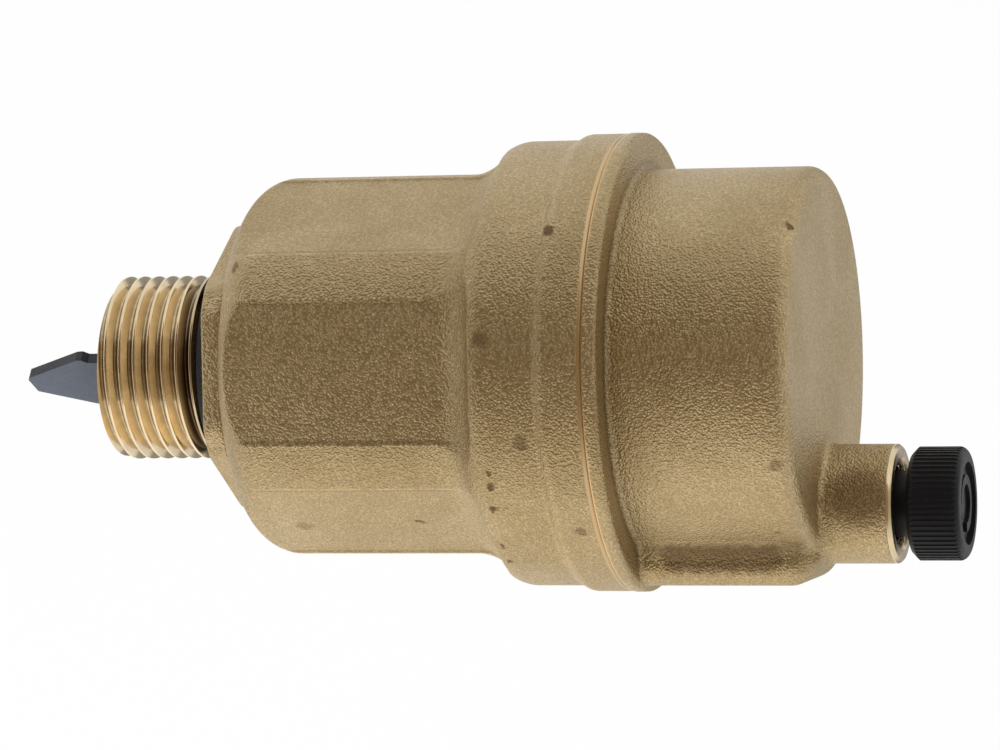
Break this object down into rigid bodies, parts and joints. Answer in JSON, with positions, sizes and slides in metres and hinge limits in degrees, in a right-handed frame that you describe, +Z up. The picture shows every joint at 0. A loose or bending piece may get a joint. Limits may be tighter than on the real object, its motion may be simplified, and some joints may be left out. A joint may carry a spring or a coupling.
{
  "type": "air release valve",
  "caption": "Brass float air vent with a male pipe thread at the bottom, spanner flats, a round cover with a side boss, and a nozzle closed by a black ridged vent knob.",
  "frame": {"origin": "on the valve axis, at the lower face of the hexagon collar that the inlet gasket sits against", "axes": "+Z up the valve axis from the inlet thread to the cover, +X from the axis to the boss with the vent nozzle, and a spanner flat faces -Y"},
  "size_m": [0.0406, 0.0406, 0.0871],
  "materials": {
    "forged_brass": "blasted forging, fine grain",
    "forged_brass_cover": "blasted forging, fine grain",
    "turned_brass": "turned, bright",
    "gasket_rubber": "matt",
    "seal_rubber": "matt",
    "grey_plastic": "moulded, satin",
    "float_plastic": "moulded, natural",
    "black_plastic": "moulded, satin",
    "steel": "stainless, plain"
  },
  "bodies": {
    "housing": {"body": "forged_brass", "inlet_gasket": "gasket_rubber", "drip_fin": "grey_plastic", "fin_ring": "grey_plastic", "cover": "forged_brass_cover", "cover_seal": "seal_rubber", "lever_pin": "steel", "lever_bracket": "steel", "bracket_screw_a": "steel", "bracket_screw_b": "steel", "seat_insert": "turned_brass", "seat_seal": "seal_rubber"},
    "float": {"float_shell": "float_plastic", "float_lid": "float_plastic", "float_hook": "float_plastic", "hook_pin": "steel"},
    "lever": {"lever": "steel", "valve_pad": "seal_rubber"},
    "stem": {"vent_stem": "black_plastic", "stem_seal": "seal_rubber"},
    "knob": {"vent_knob": "black_plastic"}
  },
  "joints": [
    {"name": "float_rise", "type": "slide", "parent": "housing", "child": "float", "axis": [0, 0, 1], "range_m": [0, 0.0034]},
    {"name": "lever_swing", "type": "hinge", "parent": "housing", "child": "lever", "pos_m": [0.0154, 0, 0.04455], "axis": [0, 1, 0], "range_deg": [0, 12.66]},
    {"name": "stem_travel", "type": "slide", "parent": "housing", "child": "stem", "axis": [0, 0, 1], "range_m": [-0.001, 0.0015]},
    {"name": "knob_turn", "type": "hinge", "parent": "stem", "child": "knob", "pos_m": [0.01263, 0, 0.0635], "axis": [0, 0, 1], "range_deg": [-360, 540]}
  ],
  "couplings": [
    {"joint": "lever_swing", "follows": "float_rise", "rad_per_m": 64.935},
    {"joint": "knob_turn", "follows": "stem_travel", "rad_per_m": 6283.2}
  ]
}
